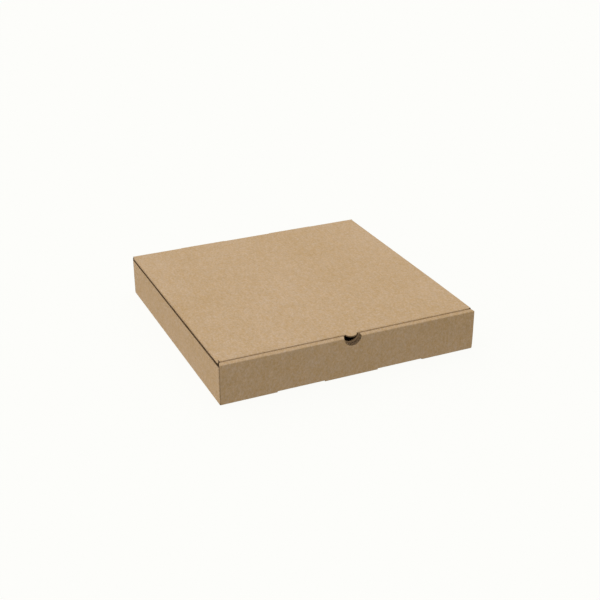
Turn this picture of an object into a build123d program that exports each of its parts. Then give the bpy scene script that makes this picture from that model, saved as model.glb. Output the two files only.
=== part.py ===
from build123d import *
import math
import os

# A plain pizza box folded from one die-cut blank of thin corrugated board.
# Millimetres. The origin is on the floor under the middle of the tray,
# +X to the right, +Y to the hinge at the back, +Z up.

# Board
board = 1.5                # thickness of the corrugated board
crease = 1.6               # outside radius of a pressed fold
layer_gap = 0.5            # air between two layers of board that lie together

# Overall size
box_width = 300.0          # across the outside of the tray
box_depth = 300.0          # front face to back face of the tray
front_height = 45.8        # floor to the top of the rolled-over front
lid_step = 2.6             # top of the closed lid above the top of the front
side_drop = 0.5            # top of a side wall below the underside of the top strip

# Rolled-over front
strip_end_inset = 1.5      # top strip's ends, in from the tray's sides, at the front face
panel_end_inset = 2.7      # inner panel's ends, in from the tray's sides
panel_foot_gap = 0.6       # inner panel's lower edge above the floor board
notch_radius = 10.2        # round bottom of the thumb notch
notch_depth = 9.4          # notch bottom below the top strip
tab_width = 53.5           # locking tab at the foot of the inner panel
tab_spacing = 117.4        # middle of one locking tab to the middle of the other
tab_floor_gap = 0.3        # tab's lower edge above the surface the box stands on
slot_clearance = 0.75      # slot beyond each end of its tab
slot_back_gap = 0.7        # slot's back edge behind its tab

# Corner flaps of the tray
flap_length = 54.0         # reach of a corner flap along the front or back wall
flap_floor_gap = 0.6       # flap's lower edge above the floor board
flap_slope = 4.0           # drop of the flap's top edge from root to end
flap_corner = 7.0          # radius of the flap's free corners
flap_fold_reach = 6.0      # flat board on each side of a corner fold
corner_relief = 0.6        # opening between neighbouring walls at the floor corners

# Lid
lid_inset = 0.75           # lid's side folds, in from the tray's sides
lid_gap = 0.4              # tuck flap behind the inner front panel
fold_clearance = 1.4       # level where the side fold turns inwards, above the side wall
side_flap_gap = 0.7        # side flap inside the side wall
side_flap_depth = 31.0     # lid top to the lower edge of a side flap
side_flap_inset = 10.0     # each end of a side flap, in from the lid's corner
side_flap_taper = 9.0      # narrowing of each end of a side flap towards its lower edge
side_flap_corner = 10.0    # radius of a side flap's lower corners
hinge_end_gap = 3.0        # side folds stop ahead of the back face
tuck_length = 34.0         # lid top to the lower edge of the tuck flap
tuck_slant = 3.9           # degrees that the tuck flap leans into the box
tuck_end_inset = 3.0       # tuck flap's ends, in from the tray's sides
tuck_taper = 6.0           # narrowing of each end of the tuck flap towards its lower edge
tuck_corner = 9.0          # radius of the tuck flap's lower corners
corner_slit = 1.6          # depth of the slit between the tuck flap and a side fold
tongue_radius = 7.5        # half-moon left level with the lid in front of the tuck flap
tongue_root = 0.6          # tongue's centre behind the front of the tuck flap
hole_radius = 10.2         # half-moon hole in the tuck flap, round the fold line at the lid's top

# Hinge
hinge_clearance = 0.1      # room under the lid's turning edge
slit_width = 57.0          # stretch of the hinge line that is cut instead of creased
slit_spacing = 118.0       # middle of one cut stretch to the middle of the other
hinge_round = 1.4          # outside radius of the creased stretches

# Places worked out from the sizes
half_width = box_width / 2
front_y = -box_depth / 2
back_y = box_depth / 2
side_height = front_height - board - side_drop
lid_height = front_height + lid_step
fold_turn_z = side_height + fold_clearance
layer = board + layer_gap
strip_depth = 3 * board + 2 * layer_gap
panel_y = front_y + strip_depth
notch_z = front_height - notch_depth + notch_radius
hinge_y = back_y - board / 2
hinge_z = lid_height - board / 2
corner_reach = board / 2 * 2 ** 0.5
back_height = hinge_z - corner_reach - hinge_clearance
lid_underside = lid_height - board
lid_half = half_width - lid_inset
tuck_y = panel_y + lid_gap
tuck_half = half_width - tuck_end_inset
tuck_lean = tuck_length * math.tan(math.radians(tuck_slant))
side_flap_x = half_width - board - side_flap_gap


def corner_flap(wall_y, inward, turn):
    """Left-hand corner flap: the fold at the side wall's end and the panel along the wall."""
    face_y = wall_y + inward * layer
    low_z = board + flap_floor_gap
    root_x = -half_width + flap_fold_reach
    end_x = -half_width + board + flap_length
    with BuildPart() as flap:
        with BuildSketch(Plane.XY.offset(low_z)):
            with BuildLine():
                FilletPolyline(
                    (-half_width, face_y + inward * flap_fold_reach),
                    (-half_width, face_y),
                    (root_x, face_y),
                    radius=crease,
                )
                offset(amount=board, side=turn)
            make_face()
        extrude(amount=side_height - low_z)
        with BuildSketch(Plane.XZ.offset(-face_y)) as panel:
            with BuildLine():
                Polyline(
                    (root_x - board, low_z),
                    (end_x, low_z),
                    (end_x, side_height - flap_slope),
                    (root_x, side_height),
                    (root_x - board, side_height),
                    close=True,
                )
            make_face()
            fillet(panel.vertices().group_by(Axis.X)[-1], radius=flap_corner)
        extrude(amount=-inward * board)
    return flap.part


front_flap = corner_flap(front_y, 1, Side.LEFT)
back_flap = corner_flap(back_y, -1, Side.RIGHT)

# Tray: floor, four walls, rolled-over front and corner flaps, all one sheet
with BuildPart() as tray:
    # Front wall, top strip and inner panel, rolled over the corner flaps
    with BuildSketch(Plane.YZ.offset(-half_width + strip_end_inset)):
        with BuildLine():
            FilletPolyline(
                (front_y, front_height / 2),
                (front_y, front_height),
                (panel_y, front_height),
                (panel_y, board + panel_foot_gap),
                radius=crease,
            )
            offset(amount=board, side=Side.LEFT)
        make_face()
    extrude(amount=box_width - 2 * strip_end_inset)
    # Ends of the strip and inner panel, cut back to pass between the side walls
    with BuildSketch(Plane.XY):
        for side in (-1, 1):
            with BuildLine():
                Polyline(
                    (side * (half_width - strip_end_inset), front_y + board),
                    (side * (half_width - panel_end_inset), panel_y),
                    (side * half_width, panel_y),
                    (side * half_width, front_y + board),
                    close=True,
                )
            make_face()
    extrude(amount=front_height, mode=Mode.SUBTRACT)
    # Locking tabs at the foot of the inner panel
    with BuildSketch(Plane.XZ.offset(-panel_y)):
        tab_top = board + panel_foot_gap + board
        with Locations(*[(side * tab_spacing / 2, tab_floor_gap) for side in (-1, 1)]):
            Rectangle(tab_width, tab_top - tab_floor_gap, align=(Align.CENTER, Align.MIN))
    extrude(amount=board)
    # Floor with the front and back walls
    with BuildSketch(Plane.YZ.offset(-half_width + board)):
        with BuildLine():
            FilletPolyline(
                (front_y, front_height / 2),
                (front_y, 0),
                (back_y, 0),
                (back_y, back_height),
                radius=crease,
            )
            offset(amount=board, side=Side.LEFT)
        make_face()
    extrude(amount=box_width - 2 * board)
    # Floor with the side walls
    with BuildSketch(Plane.XZ.offset(-back_y + layer)):
        with BuildLine():
            FilletPolyline(
                (-half_width, side_height),
                (-half_width, 0),
                (half_width, 0),
                (half_width, side_height),
                radius=crease,
            )
            offset(amount=board, side=Side.LEFT)
        make_face()
    extrude(amount=box_depth - 2 * layer)
    # Front and back walls, out to the sides of the box, over the ends of the side walls
    wall_foot = board + corner_relief
    for outer_y, wall_top in ((front_y + board, side_height), (back_y, back_height)):
        with BuildSketch(Plane.XZ.offset(-outer_y)):
            with Locations((0, wall_foot)):
                Rectangle(box_width, wall_top - wall_foot, align=(Align.CENTER, Align.MIN))
        extrude(amount=board)
    # Slots for the locking tabs, cut from the front fold and the floor
    with BuildSketch(Plane.XY):
        with Locations(*[(side * tab_spacing / 2, front_y) for side in (-1, 1)]):
            Rectangle(
                tab_width + 2 * slot_clearance,
                strip_depth + slot_back_gap,
                align=(Align.CENTER, Align.MIN),
            )
        with Locations(*[(side * tab_spacing / 2, panel_y) for side in (-1, 1)]):
            Rectangle(tab_width, board, align=(Align.CENTER, Align.MAX), mode=Mode.SUBTRACT)
    extrude(amount=board, mode=Mode.SUBTRACT)
    # Thumb notch through the outer wall, top strip and inner panel
    with BuildSketch(Plane.XZ.offset(-panel_y)):
        with Locations((0, notch_z)):
            Circle(notch_radius)
    extrude(amount=strip_depth, mode=Mode.SUBTRACT)
    for flap in (front_flap, back_flap):
        add(flap)
        mirror(flap, about=Plane.YZ)

# Front of the lid: top panel, hinge edge and tuck flap
with BuildPart() as lid_front:
    with BuildSketch(Plane.YZ.offset(-lid_half)):
        with BuildLine():
            FilletPolyline(
                (back_y, lid_height),
                (tuck_y, lid_height),
                (tuck_y + tuck_lean, lid_height - tuck_length),
                radius=crease,
            )
            offset(amount=board, side=Side.LEFT)
        make_face()
    extrude(amount=2 * lid_half)
    # Outline seen from the front: the panel above, the tapered flap below
    with BuildSketch(Plane.XZ.offset(-back_y)) as outline:
        with BuildLine():
            Polyline(
                (-tuck_half, lid_height),
                (-tuck_half + tuck_taper, lid_height - tuck_length),
                (tuck_half - tuck_taper, lid_height - tuck_length),
                (tuck_half, lid_height),
                close=True,
            )
        make_face()
        fillet(outline.vertices().group_by(Axis.Y)[0], radius=tuck_corner)
        with Locations((0, lid_height)):
            Rectangle(2 * (lid_half - crease), board, align=(Align.CENTER, Align.MAX))
    extrude(amount=box_depth, mode=Mode.INTERSECT)

# Left-hand side fold of the lid and the flap that tucks inside the side wall
with BuildPart() as side_fold:
    with BuildSketch(Plane.XZ.offset(-back_y + hinge_end_gap)):
        with BuildLine():
            FilletPolyline(
                (-lid_half + 2 * crease, lid_height),
                (-lid_half, lid_height),
                (-lid_half, fold_turn_z),
                (-side_flap_x, side_height - layer_gap / 2),
                (-side_flap_x, lid_height - side_flap_depth),
                radius=crease,
            )
            offset(amount=board, side=Side.LEFT)
        make_face()
    extrude(amount=back_y - hinge_end_gap - tuck_y)
    # Outline seen from the side: the whole fold above, the tapered flap below
    with BuildSketch(Plane.YZ.offset(-half_width)) as outline:
        flap_front = tuck_y + side_flap_inset
        flap_back = back_y - hinge_end_gap - side_flap_inset
        flap_low = lid_height - side_flap_depth
        with BuildLine():
            Polyline(
                (flap_front, lid_height),
                (flap_front + side_flap_taper, flap_low),
                (flap_back - side_flap_taper, flap_low),
                (flap_back, lid_height),
                close=True,
            )
        make_face()
        fillet(outline.vertices().group_by(Axis.Y)[0], radius=side_flap_corner)
        with BuildLine():
            Polyline(
                (tuck_y, side_height + layer_gap),
                (tuck_y, lid_height),
                (back_y - hinge_end_gap, lid_height),
                (back_y - hinge_end_gap, side_height + layer_gap),
                close=True,
            )
        make_face()
    extrude(amount=half_width - side_flap_x + 4 * crease, mode=Mode.INTERSECT)

# Lid: top panel, tuck flap with its half-moon, and two side flaps, all one sheet
with BuildPart() as lid:
    add(lid_front.part)
    add(side_fold.part)
    mirror(side_fold.part, about=Plane.YZ)
    # Slits at the front corners, between the tuck flap and the side folds
    with BuildSketch(Plane.XY.offset(lid_height)):
        with Locations(*[(side * (tuck_half + lid_half - board) / 2, tuck_y) for side in (-1, 1)]):
            Rectangle(
                lid_half - board - tuck_half, corner_slit, align=(Align.CENTER, Align.MIN)
            )
    extrude(amount=fold_turn_z - lid_height, mode=Mode.SUBTRACT)
    # Half-moon hole in the tuck flap, below the fold, and the gap that the tongue leaves in the fold
    hole_reach = crease + board + tongue_root
    with BuildSketch(Plane.XZ.offset(-tuck_y - hole_reach)):
        with Locations((0, lid_height)):
            Circle(hole_radius)
            Rectangle(2 * hole_radius, 2 * crease, mode=Mode.SUBTRACT)
            Rectangle(2 * tongue_radius, 2 * crease)
    extrude(amount=hole_reach, mode=Mode.SUBTRACT)
    # Tongue left level with the lid
    with BuildSketch(Plane.XY.offset(lid_underside)):
        with Locations((0, tuck_y + tongue_root)):
            Circle(tongue_radius)
            Rectangle(2 * tongue_radius, hole_reach, align=(Align.CENTER, Align.MIN))
    extrude(amount=board)
    # Rounded hinge edge, left square where the hinge line is cut through
    slit_outer = (slit_spacing + slit_width) / 2
    slit_inner = (slit_spacing - slit_width) / 2
    for start_x, end_x in (
        (-lid_half, -slit_outer), (-slit_inner, slit_inner), (slit_outer, lid_half),
    ):
        with BuildSketch(Plane.YZ.offset(start_x)):
            with BuildLine():
                Line((back_y, lid_height), (back_y, lid_height - hinge_round))
                RadiusArc(
                    (back_y, lid_height - hinge_round),
                    (back_y - hinge_round, lid_height),
                    -hinge_round,
                )
                Line((back_y - hinge_round, lid_height), (back_y, lid_height))
            make_face()
        extrude(amount=end_x - start_x, mode=Mode.SUBTRACT)

tray.part.label = "tray"
lid.part.label = "lid"
os.makedirs("parts", exist_ok=True)
export_step(tray.part, "parts/tray.step")
export_step(lid.part, "parts/lid.step")
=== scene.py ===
import math

import bpy
import numpy as np
from mathutils import Matrix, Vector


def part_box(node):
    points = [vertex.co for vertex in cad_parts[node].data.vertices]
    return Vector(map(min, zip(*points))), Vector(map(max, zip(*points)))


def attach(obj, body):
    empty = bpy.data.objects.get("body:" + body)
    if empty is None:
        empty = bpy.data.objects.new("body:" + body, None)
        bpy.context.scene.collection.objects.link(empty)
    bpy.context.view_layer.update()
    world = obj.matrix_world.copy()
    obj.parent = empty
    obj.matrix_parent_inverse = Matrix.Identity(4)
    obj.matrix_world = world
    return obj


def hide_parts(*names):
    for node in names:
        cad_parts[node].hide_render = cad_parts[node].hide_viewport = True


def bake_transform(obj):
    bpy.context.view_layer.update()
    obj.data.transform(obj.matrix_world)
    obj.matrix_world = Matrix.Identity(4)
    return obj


# A plain kraft pizza box, made the way the real one is: one flat die-cut blank of fine-flute board,
# described as outlines on the flat sheet and then folded. Lengths are millimetres until a mesh is made.
# Blank coordinates: a runs across the box, b along it, and depth goes from the outer face inwards.
# The flutes of the whole blank run along b, so their waves show wherever the sheet is cut across.

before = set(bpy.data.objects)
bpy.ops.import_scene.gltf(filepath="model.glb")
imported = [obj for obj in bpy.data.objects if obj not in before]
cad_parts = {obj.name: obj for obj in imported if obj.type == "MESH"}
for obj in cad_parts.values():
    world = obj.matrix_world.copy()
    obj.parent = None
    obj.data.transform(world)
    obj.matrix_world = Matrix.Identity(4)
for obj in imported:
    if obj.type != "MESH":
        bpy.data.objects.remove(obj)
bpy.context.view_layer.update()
tray_high = np.array(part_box("tray")[1]) * 1000
lid_low, lid_high = (np.array(corner) * 1000 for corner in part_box("lid"))

# Board
board = 1.5
liner = 0.22              # each of the two face papers
medium = 0.16             # the fluted paper between them
steps_per_flute = 8
crease = 0.9              # outer radius of a pressed fold
sharp = 0.4               # and of a fold that is pressed flat
crushed_share = 0.45      # how much thinner the board is where it is pressed for a fold
crush_reach = 1.2         # how far beside a fold the board is thinner
fold_fill = 0.95          # most of a fold's radius that the board's thickness takes up
quarter = crease * math.pi / 2
arc_steps = 4             # straight steps in a quarter turn of a fold
round_steps = 9           # grid lines for half of a notch, hole or tongue
hair = 0.05               # openings narrower than this are shut
liner_step = 11.0         # longest plain step of the liners' grid
flute_step = 60.0         # longest plain step of the fluted paper's grid, along the flutes

# Places read from the fixed frame
half_width = tray_high[0]
half_depth = tray_high[1]
back_top = tray_high[2]
lid_top = lid_high[2]
lid_half = lid_high[0]
tuck_low = lid_low[2]

# Rolled-over front
front_top = lid_top - 2.6
strip_rise = 0.9          # the top strip's inner edge stands higher than its outer edge
strip_depth = 5.65        # front face to the strip's inner edge
panel_foot = 2.1          # lower edge of the inner panel above the table
panel_half = half_width - 2.7   # half-widths of the inner panel, and of the strip where they meet
strip_half = half_width - 1.9
wall_half = half_width - 0.5    # the front wall ends between the folds of the corner flaps
back_half = half_width - 0.25   # and so does the back wall
front_shift = 0.46        # the rolled-over front stands this much to the right of the floor
shift_rise = 12.0         # from this height up, and less below
tab_foot = 0.3            # lower edge of a locking tab above the table
tab_inner, tab_outer = 31.95, 85.45
slot_end = 0.75           # slot beyond each end of its tab
slot_back = half_depth - 6.2   # back edge of a slot, from the middle
slot_top = 1.5            # and it runs this far up the front wall
notch_radius = 10.3       # thumb notch
notch_skew = 1.2          # the notch runs aside and narrows on its way through the strip
notch_taper = 0.9
notch_z = front_top + 0.8   # height of the notch's middle
notch_ring = 2.5          # board round the notch that the die has crushed solid
crushed_front = 12.0      # and how far behind the front face that holds

# Walls and corner flaps
side_top = front_top - board - 0.5   # the side walls end just under the strip
relief_z = 2.1            # neighbouring walls part from each other above this height
wall_end = half_depth - 0.7   # ends of the side walls, where the corner flaps are folded in
flap_y = half_depth - board - 0.5   # outer face of a corner flap
flap_length = 55.5
pressed_reach = 6.0       # the corner flap's fold presses the end of the wall in front of it
pressed_share = 0.57      # by this share of its thickness
flap_root = 6.0           # board beside a corner flap's fold before its upper edge falls
flap_slope = 4.0          # and how far it falls
flap_corner = 7.0

# Lid
lid_front = half_depth - strip_depth - 0.15   # front of the tuck flap's fold
tuck_lean = 2.318         # how far the tuck flap's lower edge stands behind its fold
tuck_half = half_width - 3.1   # half-width of the tuck flap at its fold
tuck_taper = 7.0          # how much each end is narrower at the lower edge
tuck_corner = 9.0
tongue_shift = 0.6        # the tongue stands this much to the right
tongue_bend = 0.6         # beyond its first stretch of this length
tongue_radius = 6.7
tongue_middle = lid_front - 1.1   # middle of the tongue's circle
hole_radius = 9.3
slit_length = 3.0         # the slit beside the tuck flap's left end runs this far into the lid
slit_low, slit_high = 0.3, 1.3   # and lies between these distances from the side fold
hole_z = lid_top - 1.6    # the half-moon hole lies below the tuck flap's fold
side_flap_half = half_width - board - 0.7   # outer face of a side flap
side_flap_low = lid_top - 31.0
side_flap_inset = 10.0    # each end of a side flap, in from the lid's corner
side_flap_taper = 9.0     # and how much further in at its lower edge
side_flap_corner = 10.0
fold_turn_z = side_top + 1.65   # the side fold turns inwards here
fold_low_z = side_top - 0.25   # and down again here
fold_whole_z = side_top + 0.5   # the side fold keeps its full length down to this height
fold_back = half_depth - 3.0    # and stops short of the hinge

# Hinge
hinge_foot = back_top - 0.19    # under a creased stretch the wall's board ends here
hinge_end = half_depth - 2.4    # and the lid's board starts here
slit_inner, slit_outer = 30.5, 87.5   # the hinge line is cut through between these


def fold_path(corners, radius, leg, distance):
    """Section of folded board, as runs that each have a start, a point, a heading, a curvature and a size.

    The corners are joined by straight runs, with an arc of the radius, or of each one's own radius, at
    the inner corners. The place that lies the distance along the leg has that distance on the path.
    """
    corners = np.asarray(corners, float)
    legs = np.diff(corners, axis=0)
    length = np.hypot(*legs.T)
    unit = legs / length[:, None]
    heading = np.unwrap(np.arctan2(legs[:, 1], legs[:, 0]))
    turn = np.diff(heading)
    radius = radius + 0 * turn
    cut = radius * np.tan(np.abs(turn) / 2)
    before, after = np.append(0, cut), np.append(cut, 0)
    runs = 2 * len(legs) - 1
    point, size, curve = np.empty((runs, 2)), np.empty(runs), np.zeros(runs)
    point[0::2] = corners[:-1] + before[:, None] * unit
    point[1::2] = (corners[1:] - after[:, None] * unit)[:-1]
    size[0::2], size[1::2] = length - before - after, radius * np.abs(turn)
    curve[1::2] = np.sign(turn) / radius
    begin = np.append(0, np.cumsum(size)[:-1])
    begin -= begin[2 * leg] + distance - before[leg]
    return begin, point, np.repeat(heading, 2)[:-1], curve, size


def on_path(path, distance, side=1):
    """Points on a folded section, and the way into the board for each millimetre of its thickness.

    A straight run adds its length along its heading. An arc adds the change of sine and cosine of its
    heading, over its curvature. The way into the board is the heading turned a quarter to the left, or to
    the right where side is -1. It is shorter at a fold, so that it stays within the radius, and beside
    it by the square of the nearness.
    """
    begin, point, angle, curve, size = path
    run = np.clip(np.searchsorted(begin, distance, side="right") - 1, 0, None)
    gone, bend, first = distance - begin[run], curve[run], angle[run]
    bends = np.pad(np.abs(curve), 1)
    loss = 1 - np.minimum(1 - crushed_share, fold_fill / board / np.maximum(bends, 0.01))
    behind, ahead = (
        loss[fold] * (1 - np.clip(away / crush_reach, 0, 1)) ** 2 * (bends[fold] > 0)
        for fold, away in ((run, gone), (run + 2, size[run] - gone))
    )
    thickness = 1 - np.where(bend == 0, np.maximum(behind, ahead), loss[run + 1])
    now = first + bend * gone
    line = gone[..., None] * np.stack([np.cos(first), np.sin(first)], -1)
    arc = np.stack([np.sin(now) - np.sin(first), np.cos(first) - np.cos(now)], -1)
    straight = (bend == 0)[..., None]
    along = np.where(straight, line, arc / np.where(straight, 1, bend[..., None]))
    inward = side * np.stack([-np.sin(now), np.cos(now)], -1)
    return point[run] + along, inward * thickness[..., None]


def folds(path):
    """Start and end distance of each fold of a path."""
    begin, _, _, curve, _ = path
    return [(begin[run], begin[run + 1]) for run in np.flatnonzero(curve)]


def fold_marks(path, low=-1e3, high=1e3):
    """Distances that divide the folds of a path into even steps, from low to high."""
    marks = [np.linspace(*ends, math.ceil(arc_steps * (ends[1] - ends[0]) / quarter) + 1)
             for ends in folds(path)]
    return within(np.concatenate(marks), low, high)


def within(values, low, high):
    """The values that lie from low to high."""
    return values[(values > low - 1e-6) & (values < high + 1e-6)]


def spaced(step, *marks):
    """Rising values through all the marks, with even steps no longer than step between them."""
    marks = np.unique(np.round(np.concatenate([np.ravel(mark) for mark in marks]), 4))
    parts = [np.linspace(low, high, math.ceil((high - low) / step) + 1)
             for low, high in zip(marks[:-1], marks[1:])]
    return np.unique(np.concatenate(parts))


def liner_cols(*marks):
    """Grid lines across the box for the face papers."""
    return spaced(liner_step, *marks)


def flute_cols(*marks):
    """Grid lines across the box for the fluted paper, several to each flute."""
    marks = np.concatenate([np.ravel(mark) for mark in marks])
    step = flute_pitch / steps_per_flute
    even = step * np.arange(math.ceil(marks.min() / step), math.floor(marks.max() / step) + 1)
    return np.unique(np.round(np.append(even, marks), 4))


def circle_half(radius, away):
    """Half the width of a circle at a distance from its middle: the root of r squared less d squared,
    and nothing where that is less than a hair."""
    half = np.sqrt(np.maximum(radius ** 2 - away ** 2, 0))
    return np.where(half > hair, half, 0)


def round_end(left, radius):
    """How far a rounded corner stands back where that much length is left to the end."""
    return radius - circle_half(radius, np.clip(radius - left, 0, radius))


def round_levels(radius, steps=7):
    """Lengths left to the end that divide a rounded corner well: r less r times the sine of an angle."""
    return radius * (1 - np.sin(np.linspace(0, math.pi / 2, steps)))


# Folded sections of the blank
tray_long = fold_path(
    [(strip_depth - half_depth, panel_foot), (strip_depth - half_depth, front_top + strip_rise),
     (-half_depth, front_top), (-half_depth, 0), (half_depth, 0), (half_depth, back_top)],
    np.array([sharp, crease, crease, crease]), 3, half_depth,
)
tray_cross = fold_path(
    [(-half_width, side_top), (-half_width, 0), (half_width, 0), (half_width, side_top)],
    crease, 1, half_width,
)
flap_plan = fold_path(
    [(half_width, 0), (half_width, wall_end), (half_width - pressed_reach, flap_y),
     (half_width - flap_length, flap_y)], crease, 0, 0,
)
lid_long = fold_path(
    [(half_depth, lid_top), (-lid_front, lid_top), (tuck_lean - lid_front, tuck_low)],
    sharp, 0, half_depth,
)
tongue_long = fold_path([(half_depth, lid_top), (-half_depth, lid_top)], sharp, 0, half_depth)
lid_cross = fold_path(
    [(-side_flap_half, side_flap_low), (-side_flap_half, fold_low_z), (-lid_half, fold_turn_z),
     (-lid_half, lid_top), (lid_half, lid_top), (lid_half, fold_turn_z), (side_flap_half, fold_low_z),
     (side_flap_half, side_flap_low)],
    np.array([crease, crease, sharp, sharp, crease, crease]), 3, lid_half,
)
hinge_long = fold_path(
    [(half_depth, hinge_foot), (half_depth, lid_top), (hinge_end, lid_top)], crease, 0, 0,
)

# Places of the folds on the flat blank
panel_fold, strip_fold, front_fold, back_fold = folds(tray_long)
wall_fold = folds(tray_cross)[1]
flap_fold = folds(flap_plan)[0]
tuck_fold = folds(lid_long)[0]
lid_fold = folds(lid_cross)[3]
tongue_root = float(circle_half(tongue_radius, tuck_fold[0] - tongue_middle))
wall_top_a = wall_fold[1] + side_top - crease
flute_pitch = wall_top_a / 60.5   # so that the fluting meets the outer liner along the walls' tops
hinge_length = folds(hinge_long)[0][1] + half_depth - crease - hinge_end
lid_shift = back_fold[1] + hinge_foot - crease + hinge_length + hinge_end   # the lid follows the hinge


def lengthwise(path, aside=None, share=None):
    """Places blank points on a section that runs front to back: x is a, and the path gives y and z.

    Where they are given, aside is added to x, and the board has that share of its thickness.
    """
    def place(a, b):
        yz, inward = on_path(path, b)
        x = a + aside(a, b) if aside else a
        part = share(a, b) if share else 1 + 0 * a
        return (np.stack([x, yz[..., 0], yz[..., 1]], -1),
                np.stack([0 * a, inward[..., 0] * part, inward[..., 1] * part], -1))
    return place


def crosswise(path, side, along):
    """Places blank points on a section that runs side to side: y is b times along, the path gives x, z."""
    def place(a, b):
        xz, inward = on_path(path, a, side)
        return (np.stack([xz[..., 0], along * b, xz[..., 1]], -1),
                np.stack([inward[..., 0], 0 * b, inward[..., 1]], -1))
    return place


def corner_flap(a, b):
    """Places blank points on a corner flap: the tray's cross-section gives the height, and the plan of
    the flap's fold gives x and y, mirrored to the corner that the signs of a and b say."""
    height = on_path(tray_cross, a)[0][..., 1]
    plan, inward = on_path(flap_plan, np.abs(b))
    hand, end = np.sign(a), np.sign(b)
    return (np.stack([hand * plan[..., 0], end * plan[..., 1], height], -1),
            np.stack([hand * inward[..., 0], end * inward[..., 1], 0 * height], -1))


def both(cols, rows, place, a_limits=(), b_limits=(), keep=None):
    """Right-hand and left-hand grid of a part of the blank that is the same on both sides.

    The grid's lines stay in place, and its crossings are drawn in to the outline: a to between its two
    limits at that b, and b to between its two limits at that a.
    """
    a, b = np.meshgrid(cols, rows)
    if a_limits:
        a = np.clip(a, *(limit(b) for limit in a_limits))
    if b_limits:
        b = np.clip(b, *(limit(a) for limit in b_limits))
    return [(a, b, place, keep), (-a[:, ::-1], b[:, ::-1], place, keep)]


def cells(a, b, keep):
    """Corner numbers of a grid's cells, counter-clockwise on the flat blank, of those to keep."""
    number = np.arange(a.size).reshape(a.shape)
    quads = np.stack([number[:-1, :-1], number[:-1, 1:], number[1:, 1:], number[1:, :-1]], -1)
    quads = quads.reshape(-1, 4)
    if keep:
        quads = quads[keep(a.ravel()[quads].mean(1), b.ravel()[quads].mean(1))]
    return quads


def joined(patches):
    """All patches as one surface: blank coordinates, places, normals, and cells that share corners."""
    flat, places, normals, quads, count = [], [], [], [], 0
    for a, b, place, keep in patches:
        point, inward = place(a, b)
        flat.append(np.stack([a.ravel(), b.ravel()], -1))
        places.append(point.reshape(-1, 3))
        normals.append(inward.reshape(-1, 3))
        quads.append(cells(a, b, keep) + count)
        count += a.size
    flat, places, normals, quads = map(np.concatenate, (flat, places, normals, quads))
    _, first, number = np.unique(np.round(places, 3), axis=0, return_index=True, return_inverse=True)
    quads = number.ravel()[quads]
    used, again = np.unique(quads, return_inverse=True)
    first = first[used]
    return flat[first], places[first], normals[first], again.reshape(-1, 4)


def proper(quads):
    """Four-cornered faces and, where two corners fell together, three-cornered ones."""
    doubled = quads == np.roll(quads, -1, axis=1)
    count = doubled.sum(1)
    return quads[count == 0], quads[count == 1][~doubled[count == 1]].reshape(-1, 3)


def free_edges(*groups):
    """Edges that only one face has, each in that face's direction."""
    edges = np.concatenate([
        np.stack([faces, np.roll(faces, -1, axis=1)], -1).reshape(-1, 2) for faces in groups
    ])
    size = edges.max() + 1
    return edges[~np.isin(edges[:, 0] * size + edges[:, 1], edges[:, 1] * size + edges[:, 0])]


def paper(name, patches, layers, materials, settle=None, shift=0.0):
    """Closed sheets of paper at given depths under the patches' outer face.

    A sheet is the outer face moved inwards by its low depth, the same face moved by its high depth, and
    a wall along every free edge.
    """
    flat, outer, inward, cell = joined(patches)
    quads, triangles = proper(cell)
    edge = free_edges(quads, triangles)
    if settle:
        outer = settle(outer)
    count, points, faces, slots = len(flat), [], [], []
    for number, (*depths, low_slot, high_slot) in enumerate(layers):
        points += [outer + inward * depth(flat[:, 0], outer[:, 1])[:, None] for depth in depths]
        low, high = 2 * number * count, (2 * number + 1) * count
        wall = np.concatenate([edge + low, edge[:, ::-1] + high], 1)
        faces += [quads + high, quads[:, ::-1] + low, triangles + high, triangles[:, ::-1] + low, wall]
        slots += [high_slot, low_slot, high_slot, low_slot, 1]
    flat = np.tile(flat + (0, shift), (2 * len(layers), 1))
    return make_mesh(name, np.concatenate(points), faces, slots, flat, materials)


def make_mesh(name, points, faces, slots, flat, materials):
    """Mesh object from points in millimetres, groups of faces with a material slot for each group, and
    the points' blank coordinates, which become its UV map in metres."""
    corners = np.concatenate([group.ravel() for group in faces])
    sizes = np.concatenate([np.full(len(group), group.shape[1]) for group in faces])
    slot = np.concatenate([np.full(len(group), number) for group, number in zip(faces, slots)])
    mesh = bpy.data.meshes.new(name)
    mesh.vertices.add(len(points))
    mesh.vertices.foreach_set("co", np.ravel(points / 1000).astype(np.float32))
    mesh.loops.add(len(corners))
    mesh.loops.foreach_set("vertex_index", corners.astype(np.int32))
    mesh.polygons.add(len(sizes))
    mesh.polygons.foreach_set("loop_start", (np.cumsum(sizes) - sizes).astype(np.int32))
    for material in materials:
        mesh.materials.append(material)
    mesh.polygons.foreach_set("material_index", slot.astype(np.int32))
    mesh.update(calc_edges=True)
    places = np.ravel(flat[corners] / 1000).astype(np.float32)
    mesh.uv_layers.new(name="blank").data.foreach_set("uv", places)
    mesh.polygons.foreach_set("use_smooth", np.ones(len(sizes), bool))
    mesh.set_sharp_from_angle(angle=math.radians(40))
    piece = bpy.data.objects.new(name, mesh)
    bpy.context.scene.collection.objects.link(piece)
    return piece


def at_depth(depth):
    """A depth that is the same all over the sheet."""
    return lambda a, y: 0 * a + depth


def wave(offset, solid):
    """Depth of one side of the fluted paper: the board's middle plus a cosine of a, moved by the offset.
    Round the thumb notch the die has crushed the fluting solid, out to the depth given for that."""
    swing = board / 2 - liner - medium / 2

    def depth(a, y):
        crush = np.clip(notch_radius + notch_ring - np.abs(a), 0, 1) * (y < crushed_front - half_depth)
        waved = board / 2 + offset + swing * np.cos(2 * math.pi * a / flute_pitch)
        return (1 - crush) * waved + crush * solid
    return depth


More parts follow.
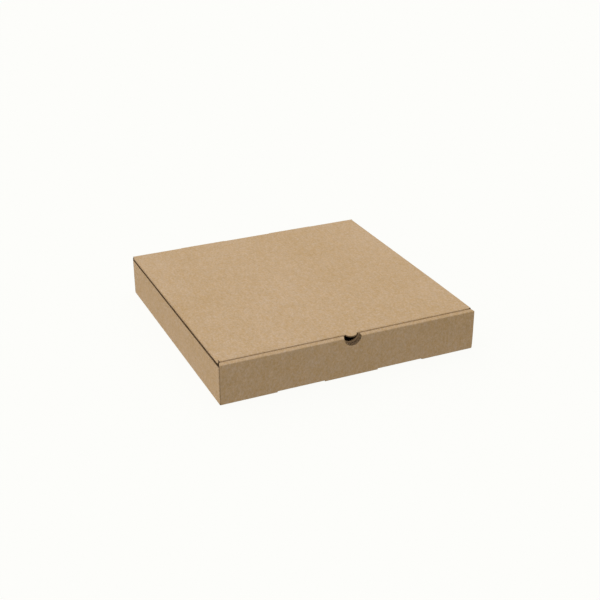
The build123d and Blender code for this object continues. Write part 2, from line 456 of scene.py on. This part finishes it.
# Each layer: its low and its high depth, and the material slots of these two faces. The liners' sides
# towards the flutes take the darker edge colour, partly as painted shade in the flute hollows
outer_liner = (at_depth(0), at_depth(liner), 0, 1)
inner_liner = (at_depth(board - liner), at_depth(board), 1, 0)
fluting = (wave(-medium / 2, liner), wave(medium / 2, board - liner), 1, 1)
crushed = (at_depth(liner), at_depth(board - liner), 1, 1)


def front_z(b):
    """Height of the outer face at a distance along the tray's long section."""
    return on_path(tray_long, b)[0][..., 1]


def notch_half(b):
    """Half-width of the thumb notch: a circle's, at the height of front wall, strip or inner panel,
    less the taper's share."""
    half = circle_half(notch_radius, notch_z - np.minimum(front_z(b), front_top))
    return np.where(b < front_fold[0], half * (1 - notch_taper / notch_radius * strip_share(b)), 0)


def strip_share(b):
    """Share of the way across the strip, from its outer fold to its inner fold."""
    return np.clip((strip_fold[0] - b) / (strip_fold[0] - panel_fold[1]), 0, 1)


def long_half(b):
    """Half-width of the tray's long strip: the rolled-over end narrows to pass between the side walls,
    and the floor ends at the side folds."""
    return np.interp(
        b,
        [panel_fold[0], panel_fold[1], strip_fold[0], wall_foot_b, front_fold[1], back_fold[0],
         back_fold[1] - crease + relief_z],
        [panel_half, strip_half, wall_half, wall_half, half_width - crease, half_width - crease, back_half],
    )


def front_aside(a, b):
    """How far the front stands aside, growing from its bottom fold up, and its middle on the strip."""
    middle = np.clip(1 - np.abs(a) / half_width, 0, 1)
    risen = np.clip((front_fold[0] - b) / shift_rise, 0, 1)
    return front_shift * risen + notch_skew * strip_share(b) * middle


def pressed_end(a, b):
    """Share of the thickness that is left where the ends of front and back wall are pressed."""
    wall = ((b > strip_fold[0]) & (b < front_fold[0])) | (b > back_fold[1])
    end = np.where(b > 0, back_half, wall_half)
    return 1 - wall * pressed_share * np.clip(1 - (end - np.abs(a)) / pressed_reach, 0, 1)


def tray_kept(a, b):
    """Cells of the tray's long strip that are board, without slots, slits and the room beside tabs."""
    a = np.abs(a)
    slot = (a > tab_inner - slot_end) & (a < tab_outer + slot_end) & (b > slot_top_b) & (b < -slot_back)
    tab = (a > tab_inner) & (a < tab_outer)
    creased = (a < slit_inner) | (a > slit_outer)
    hinge = (b > back_fold[1] - crease + hinge_foot) & creased
    return ~slot & (tab | (b > panel_low)) & ~hinge


panel_low = tray_long[0][0]
wall_foot_b = front_fold[0] + crease - relief_z
slot_top_b = front_fold[0] + crease - slot_top


def tray_patches(columns, step):
    """The tray's blank: the long strip from inner panel to back wall, the side walls and corner flaps."""
    wall_zero = wall_fold[1] - crease                       # add a height to get the distance
    turn = np.linspace(0, math.acos((notch_z - front_top + crease) / notch_radius), round_steps)
    notch_rise = notch_z - notch_radius * np.cos(turn)
    rows = spaced(
        step, fold_marks(tray_long), front_fold[0] + crease - notch_rise,
        panel_low - panel_foot + notch_rise, panel_low, panel_low - panel_foot + tab_foot,
        -slot_back, slot_top_b, wall_foot_b, back_fold[1] - crease + relief_z,
        [-flap_fold[0], flap_fold[0]], back_fold[1] - crease + hinge_foot,
        back_fold[1] - crease + back_top,
    )
    cols = columns(
        np.linspace(0, notch_radius, round_steps), slit_inner, tab_inner - slot_end, tab_inner, tab_outer,
        tab_outer + slot_end, slit_outer, wall_half - pressed_reach, panel_half,
        half_width - crease, wall_half, back_half,
    )
    place = lengthwise(tray_long, front_aside, pressed_end)
    patches = both(cols, rows, place, a_limits=(notch_half, long_half), keep=tray_kept)
    low, high = wall_zero + relief_z, wall_zero + side_top
    across = crosswise(tray_cross, 1, 1)
    floor_rows = within(rows, front_fold[1], back_fold[0])
    patches += both(columns(fold_marks(tray_cross, 0), low), floor_rows, across)
    cols = columns(low, high, low + round_levels(flap_corner), high - round_levels(flap_corner))
    patches += both(cols, within(rows, -flap_fold[0], flap_fold[0]), across)
    root = flap_fold[1] - crease + flap_root
    end = flap_plan[0][-1] + flap_plan[4][-1]

    def flap_bottom(b):
        """Lower edge of a corner flap: straight, with a round corner at its end."""
        return low + round_end(end - b, flap_corner)

    def flap_top(b):
        """Upper edge of a corner flap: it falls evenly from the root to a round corner at its end."""
        fall = flap_slope * np.clip((b - root) / (end - root), 0, 1)
        return high - fall - round_end(end - b, flap_corner)

    rows = spaced(step, fold_marks(flap_plan), root, end - round_levels(flap_corner))
    flaps = both(cols, rows, corner_flap)
    back = [(np.clip(np.abs(a), flap_bottom(b), flap_top(b)) * np.sign(a), b, place, keep)
            for a, b, place, keep in flaps]
    front = [(a[::-1], -b[::-1], place, keep) for a, b, place, keep in back]
    return patches + back + front


def lid_kept(a, b):
    """Cells of the lid's panel that are board: its back edge is cut away where the hinge is creased, and
    the slit beside the tuck flap's left end gapes, while the one at its right end has closed up."""
    creased = (np.abs(a) < slit_inner) | (np.abs(a) > slit_outer)
    aside = lid_fold[0] + a
    slit = (aside > slit_low) & (aside < slit_high) & (b > tuck_fold[0] - slit_length)
    return ~((b < -hinge_end) & creased) & ~slit


def tuck_z(b):
    """Height of the outer face at a distance along the lid's long section."""
    return on_path(lid_long, b)[0][..., 1]


def tuck_hole(b):
    """Half-width of the gap that the tongue leaves in the fold, and of the half-moon hole below it."""
    z = tuck_z(b)
    return np.where(z > hole_z, tongue_root, circle_half(hole_radius, lid_top - z))


def tuck_edge(b):
    """Half-width of the tuck flap: it narrows evenly with its depth and has round lower corners."""
    depth = lid_top - tuck_z(b)
    left = lid_top - tuck_low - depth
    return tuck_half - tuck_taper * depth / (lid_top - tuck_low) - round_end(left, tuck_corner)


def tongue_aside(a, b):
    """How far the tongue stands aside, growing over its first stretch."""
    return tongue_shift * np.clip((b - tuck_fold[0]) / tongue_bend, 0, 1)


def tongue_edge(b):
    """Half-width of the tongue: a circle's, whose middle lies behind the fold."""
    return circle_half(tongue_radius, b - tongue_middle)


def lid_distance(z):
    """Distance on the lid's cross-section, right of its middle, where the outer face has that height."""
    reach = np.linspace(lid_fold[0], lid_fold[0] + 50, 5001)
    return float(np.interp(-z, -on_path(lid_cross, reach)[0][..., 1], reach))


def lid_patches(columns, step):
    """The lid's blank: panel, tuck flap, tongue, and side folds with their flaps. b is minus y on top."""
    whole, low = lid_distance(fold_whole_z), lid_distance(side_flap_low)
    share = (lid_top - fold_whole_z) / (lid_top - side_flap_low)
    flap_front = lid_front - side_flap_inset - side_flap_taper * share
    flap_back = -fold_back + side_flap_inset + side_flap_taper * share
    rows = spaced(step, -half_depth, -hinge_end, -fold_back, flap_back, flap_front,
                  tuck_fold[0] - slit_length, tuck_fold[0])
    tongue_turn = np.sin(np.linspace(0, math.pi / 2, round_steps))
    cols = columns(tongue_root * tongue_turn, hole_radius * tongue_turn, slit_inner,
                   slit_outer, tuck_half - tuck_taper, tuck_half, lid_fold[0] - slit_high,
                   lid_fold[0] - slit_low, lid_fold[0])
    patches = both(cols, rows, lengthwise(lid_long), keep=lid_kept)
    slope = math.hypot(tuck_lean, lid_top - tuck_low) / (lid_top - tuck_low)
    drop = np.append([lid_top - hole_z - 0.01, lid_top - hole_z], hole_radius * np.sin(
        np.linspace(math.asin((lid_top - hole_z) / hole_radius), math.pi / 2, round_steps)))
    hole = tuck_fold[1] + (tuck_z(tuck_fold[1]) - lid_top + drop) * slope
    end = lid_long[0][-1] + lid_long[4][-1]
    tuck_rows = spaced(step, fold_marks(lid_long), hole, end - round_levels(tuck_corner))
    patches += both(cols, tuck_rows, lengthwise(lid_long), a_limits=(tuck_hole, tuck_edge))
    across = crosswise(lid_cross, -1, -1)
    tongue_rows = np.unique(np.append(
        tuck_fold[0], within(tongue_middle + tongue_radius * tongue_turn, tuck_fold[0], half_depth)))
    patches += both(within(cols, 0, tongue_root), tongue_rows, lengthwise(tongue_long, tongue_aside),
                    a_limits=(np.zeros_like, tongue_edge))
    arm_rows = np.append(within(rows, -fold_back, 1e3), lid_front)
    patches += both(columns(fold_marks(lid_cross, 0, whole), whole), arm_rows, across)

    def flap_start(a):
        """Back end of a side flap: it slants in by the taper's share, to a round corner."""
        gone = (np.abs(a) - whole) / (low - whole) * (1 - share)
        return flap_back + side_flap_taper * gone + round_end(low - np.abs(a), side_flap_corner)

    def flap_stop(a):
        """Front end of a side flap, made the same way."""
        gone = (np.abs(a) - whole) / (low - whole) * (1 - share)
        return flap_front - side_flap_taper * gone - round_end(low - np.abs(a), side_flap_corner)

    cols = columns(fold_marks(lid_cross, whole), whole, low - round_levels(side_flap_corner))
    return patches + both(cols, within(rows, flap_back, flap_front), across,
                          b_limits=(flap_start, flap_stop))


def hinge_patches(columns, step):
    """The three creased stretches of the hinge fold."""
    rows = spaced(step, 0, fold_marks(hinge_long), hinge_length)
    middle = both(columns(0, slit_inner), rows, lengthwise(hinge_long))
    return middle + both(columns(slit_outer, lid_half), rows, lengthwise(hinge_long))


# Lid at its sides and front
lean_width = 4.0          # how far in from a side fold the lid gives way
lean = 0.8                # how far the side folds stand in at the front
low_lean = 0.1            # share of that at the lower edge of the left fold, which leans
back_lean = 0.6           # and at the back of the right fold, which stands in upright
lid_aside = 0.3           # how far the lid's front stands to the right
front_fall = 0.75         # how far the lid's front has sunk on to the strip
fall_reach = 110.0        # and how far behind it the lid starts to sink


def settle_lid(points):
    """Lid as it lies on the walls: the top of its left fold leans in with the square of the way to the
    front, its whole right fold stands in, its front stands a little aside, and it sinks with the square
    of the way over its last stretch, but not at the sides' turns."""
    x, y, z = points.T
    near = np.clip(1 - (lid_half - np.abs(x)) / lean_width, 0, 1)
    ahead = np.clip((half_depth - y) / (2 * half_depth), 0, 1)
    height = np.clip((z - fold_turn_z) / (lid_top - fold_turn_z), 0, 1)
    sunk = front_fall * np.clip(1 - (y + lid_front) / fall_reach, 0, 1) ** 2
    left = ahead ** 2 * (low_lean + (1 - low_lean) * height)
    right = back_lean + (1 - back_lean) * ahead
    move = lid_aside * ahead - np.sign(x) * lean * near * np.where(x < 0, left, right)
    return np.stack([x + move, y, z - sunk * (1 - near * (1 - height))], -1)


# Kraft paper, linear colours of its darker, browner and lighter, greyer places
kraft_dark = (0.465, 0.302, 0.140)
kraft_light = (0.588, 0.427, 0.284)
warmth = (1.02, 1.0, 0.955)      # and how much warmer or cooler than that it gets in small spots
# Cut edges and fluting: darker than the face paper partly for the gaps between the flutes and partly as
# painted shade in crevices, flute hollows and the thumb notch
edge_colour_with_shade = (0.22, 0.145, 0.08)


class Nodes:
    """Short way to add and link the nodes of a material or a world."""

    def __init__(self, owner):
        owner.use_nodes = True
        self.owner = owner
        self.tree = owner.node_tree

    def add(self, kind, *first, **named):
        """New node. Unnamed values are its first inputs, and named ones are settings or inputs."""
        node = self.tree.nodes.new("ShaderNode" + kind)
        for name, value in named.items():
            if name.title() in node.inputs:
                self.put(node.inputs[name.title()], value)
            else:
                setattr(node, name, value)
        for socket, value in zip(node.inputs, first):
            self.put(socket, value)
        return node

    def put(self, socket, value):
        """Links another node's output to the socket, or sets its value."""
        if isinstance(value, bpy.types.NodeSocket):
            self.tree.links.new(value, socket)
        elif socket.type == "RGBA" and len(value) == 3:
            socket.default_value = (*value, 1)
        else:
            socket.default_value = value

    def noise(self, across, along, detail=2.0):
        """Noise on the blank whose blots are about across by along millimetres."""
        sheet = self.add("UVMap", uv_map="blank").outputs["UV"]
        scaled = self.add("VectorMath", sheet, (1000 / across, 1000 / along, 1), operation="MULTIPLY")
        noise = self.add("TexNoise", noise_dimensions="2D", vector=scaled.outputs[0], scale=1.0,
                         detail=detail, roughness=0.5)
        return noise.outputs["Fac"]

    def maths(self, operation, *values):
        """Number worked out from the values."""
        return self.add("Math", *values, operation=operation).outputs[0]

    def weighed(self, parts, middle=0.5):
        """Middle value plus each noise's difference from a half times its weight."""
        total = middle
        for noise, weight in parts:
            share = self.maths("MULTIPLY", self.maths("SUBTRACT", noise, 0.5), weight)
            total = self.maths("ADD", share, total)
        return total

    def mixed(self, factor, first, second):
        """Colour between two colours."""
        node = self.add("Mix", factor, data_type="RGBA")
        self.put(node.inputs[6], first)
        self.put(node.inputs[7], second)
        return node.outputs[2]

    def blended(self, factor, first, second):
        """Shader between two shaders."""
        return self.add("MixShader", factor, first, second).outputs[0]

    def looked_at(self):
        """1 for rays from the camera, from reflections and through clear things, and 0 for all others."""
        path = self.add("LightPath").outputs
        seen = self.maths("MAXIMUM", path["Is Camera Ray"], path["Is Glossy Ray"])
        return self.maths("MAXIMUM", seen, path["Is Transmission Ray"])

    def matt(self, colour, roughness, gloss):
        """Sets the material's own shader, and gives it back."""
        shader = self.tree.nodes["Principled BSDF"]
        self.put(shader.inputs["Base Color"], colour)
        self.put(shader.inputs["Roughness"], roughness)
        self.put(shader.inputs["Specular IOR Level"], gloss)
        return shader

    def show(self, shader):
        """Makes the shader what the output shows."""
        output = next(node for node in self.tree.nodes if "Surface" in node.inputs)
        self.put(output.inputs["Surface"], shader)


def kraft_liner():
    """Face paper: broad cloudy patches, blots a thumb wide and fine grain, from dark to light and, in
    other places, from warm to cool, with faint streaks along the flutes."""
    made = Nodes(bpy.data.materials.new("kraft_liner"))
    grain = made.noise(1.0, 1.5)
    tone = made.weighed([
        (made.noise(110, 140), 0.3), (made.noise(30, 42), 0.3), (made.noise(6.5, 10), 0.55),
        (made.noise(2.4, 3.4), 1.25), (grain, 1.2), (made.noise(1.6, 30), 0.2),
    ])
    hue = made.weighed([(made.noise(2.7, 3.6), 2.2), (made.noise(9, 13), 1.4)])
    warm, cool = ([tuple(part * shift ** sign for part, shift in zip(colour, warmth))
                   for colour in (kraft_dark, kraft_light)] for sign in (1, -1))
    colour = made.mixed(hue, made.mixed(tone, *cool), made.mixed(tone, *warm))
    shader = made.matt(colour, roughness=0.9, gloss=0.15)
    height = made.weighed([(grain, 0.8), (made.noise(3.2, 60), 0.5)])
    bump = made.add("Bump", strength=0.2, distance=0.00012, height=height)
    made.put(shader.inputs["Normal"], bump.outputs[0])
    return made.owner


def raw_edge_with_shade():
    """Cut edges, fluting and the liners' sides towards the flutes: duller paper with a rough grain, darker
    than the face paper partly for the gaps between the flutes and partly as painted shade in the crevices
    beside the lid, in the flute hollows and in the thumb notch.
    """
    made = Nodes(bpy.data.materials.new("raw_edge_with_shade"))
    tone = made.weighed([(made.noise(0.7, 1.8, detail=3.0), 1.2), (made.noise(7, 12), 0.8)])
    dark, light = (tuple(share * part for part in edge_colour_with_shade) for share in (0.82, 1.18))
    made.matt(made.mixed(tone, dark, light), roughness=0.95, gloss=0.1)
    return made.owner


# Light, as shares of a level at which a colour renders as it is written
ground = (0.982, 0.982, 0.956)   # the floor and backdrop that the camera sees
floor_bounce = (0.50, 0.478, 0.428)
floor_shadow = 0.04
sky_axis = (-0.428, 0.904, 0.0)  # the sky gets brighter towards the left and the back
sky_bright = (1.634, 1.630, 1.620)
sky_dim = (0.380, 0.394, 0.400)


def floor_white():
    """Floor that the camera, reflections and clear things see as near white with a weak shadow, and that
    lights the box from below like an evenly lit mid grey sheet. From underneath it can't be seen."""
    made = Nodes(bpy.data.materials.new("floor_white"))
    shade = made.add("BsdfDiffuse", color=tuple(floor_shadow * part for part in ground))
    glow = made.add("Emission", color=ground, strength=1 - floor_shadow)
    seen = made.add("AddShader", shade.outputs[0], glow.outputs[0])
    bounce = made.add("Emission", color=floor_bounce, strength=1.0)
    above = made.blended(made.looked_at(), bounce.outputs[0], seen.outputs[0])
    below = made.add("BsdfTransparent")
    made.show(made.blended(made.add("NewGeometry").outputs["Backfacing"], above, below.outputs[0]))
    return made.owner


def add_world():
    """Soft sky whose light changes evenly from dim to bright along its axis. The camera, reflections and
    clear things see the white ground instead."""
    world = bpy.data.worlds.new("studio")
    bpy.context.scene.world = world
    made = Nodes(world)
    way = made.add("TexCoord").outputs["Generated"]
    along = made.add("VectorMath", way, sky_axis, operation="DOT_PRODUCT").outputs["Value"]
    share = made.maths("MULTIPLY_ADD", along, 0.5, 0.5)
    sky = made.add("Background", color=made.mixed(share, sky_dim, sky_bright), strength=1.0)
    backdrop = made.add("Background", color=ground, strength=1.0)
    made.show(made.blended(made.looked_at(), sky.outputs[0], backdrop.outputs[0]))


def add_floor():
    """Wide white floor under the box."""
    reach = 20.0
    mesh = bpy.data.meshes.new("floor")
    corners = [(-reach, -reach, 0), (reach, -reach, 0), (reach, reach, 0), (-reach, reach, 0)]
    mesh.from_pydata(corners, [], [(0, 1, 2, 3)])
    mesh.materials.append(floor_white())
    floor = bpy.data.objects.new("floor", mesh)
    bpy.context.scene.collection.objects.link(floor)


# Camera, fitted to the box's straight edges
camera_place = (-0.47007, -1.06340, 0.57811)
camera_azimuth, camera_elevation, camera_roll = -24.18574, 25.48943, -0.23491
camera_lens = 65.995
half_pixel = 0.5 / 600           # of the picture's width


def add_camera():
    """Camera at its fitted place: its back axis from azimuth and elevation, then a slight roll."""
    azimuth, elevation, roll = map(math.radians, (camera_azimuth, camera_elevation, camera_roll))
    back = np.array([math.sin(azimuth) * math.cos(elevation), -math.cos(azimuth) * math.cos(elevation),
                     math.sin(elevation)])
    right = np.cross(-back, (0, 0, 1))
    right /= np.linalg.norm(right)
    up = np.cross(back, right)
    across = right * math.cos(roll) + up * math.sin(roll)
    upright = up * math.cos(roll) - right * math.sin(roll)
    camera = bpy.data.cameras.new("camera")
    camera.sensor_width = 36
    camera.lens = camera_lens
    camera.shift_x, camera.shift_y = -half_pixel, half_pixel
    camera.clip_start, camera.clip_end = 0.01, 100
    holder = bpy.data.objects.new("camera", camera)
    bpy.context.scene.collection.objects.link(holder)
    turn = np.stack([across, upright, back], 1)
    holder.matrix_world = Matrix.Translation(camera_place) @ Matrix(turn.tolist()).to_4x4()
    bpy.context.scene.camera = holder


def add_box():
    """The folded box: face papers and fluting of tray and lid, and the creased hinge between them."""
    # Face paper, and the darker edge paint, which is partly painted shade in crevices, flute hollows and
    # the thumb notch
    face, edge_and_shade = kraft_liner(), raw_edge_with_shade()
    for body, patches, settle, shift in (
        ("tray", tray_patches, None, 0.0), ("lid", lid_patches, settle_lid, lid_shift),
    ):
        liners = paper(body + "_liners", patches(liner_cols, liner_step), [outer_liner, inner_liner],
                       [face, edge_and_shade], settle, shift)
        flutes = paper(body + "_fluting", patches(flute_cols, flute_step), [fluting], [edge_and_shade, edge_and_shade],
                       settle, shift)
        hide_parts(body)
        for piece in (liners, flutes):
            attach(piece, body)
    hinge_blank = lid_shift - hinge_end - hinge_length
    for name, layer, depth in (
        ("hinge_outer_liner", outer_liner, liner / 2), ("hinge_fluting", crushed, board / 2),
        ("hinge_inner_liner", inner_liner, board - liner / 2),
    ):
        material = edge_and_shade if layer is crushed else face
        strip = paper(name, hinge_patches(liner_cols, liner_step), [layer], [material, edge_and_shade],
                      None, hinge_blank)
        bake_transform(strip)


bpy.context.scene.view_settings.view_transform = "Standard"
add_camera()
add_world()
add_floor()
add_box()
